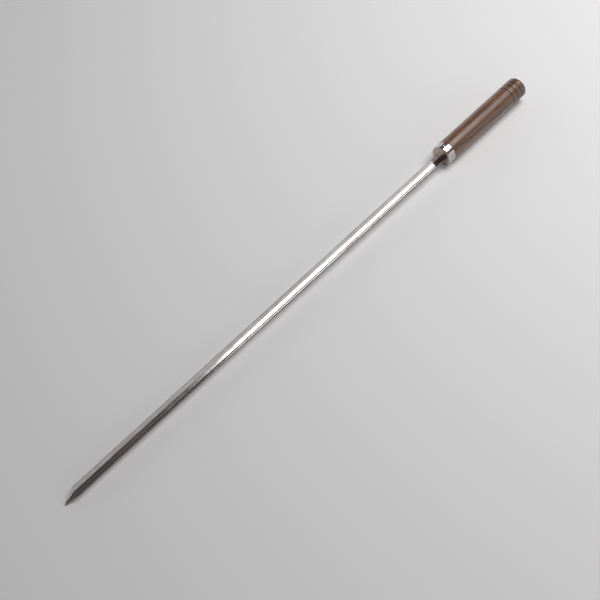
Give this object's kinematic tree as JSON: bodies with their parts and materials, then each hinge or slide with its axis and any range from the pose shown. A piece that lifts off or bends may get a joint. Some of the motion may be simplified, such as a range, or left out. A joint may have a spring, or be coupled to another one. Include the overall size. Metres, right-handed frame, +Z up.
{
  "type": "churrasco skewer",
  "caption": "Long grill skewer: folded V-section steel blade with a point, drawn metal cap and a turned, grooved wooden grip pinned by a nail.",
  "frame": {"origin": "middle of the length, on the plane under the grip on which the skewer is laid", "axes": "+X along the grip's axis from the point towards the butt, +Z up, out of the open side of the V blade, +Y to the left of someone looking from the point to the butt"},
  "size_m": [0.7, 0.025, 0.0252],
  "materials": {
    "blade_steel": "bright rolled stainless steel sheet, mirror-like with fine lengthwise rolling lines",
    "cap_metal": "polished drawn stainless steel with light handling marks",
    "stained_wood": "dark red-brown stained hardwood under a gloss varnish",
    "nail_steel": "plain bright wire nail"
  },
  "bodies": {
    "root": {"blade": "blade_steel", "cap": "cap_metal", "grip": "stained_wood", "nail": "nail_steel"}
  },
  "joints": []
}
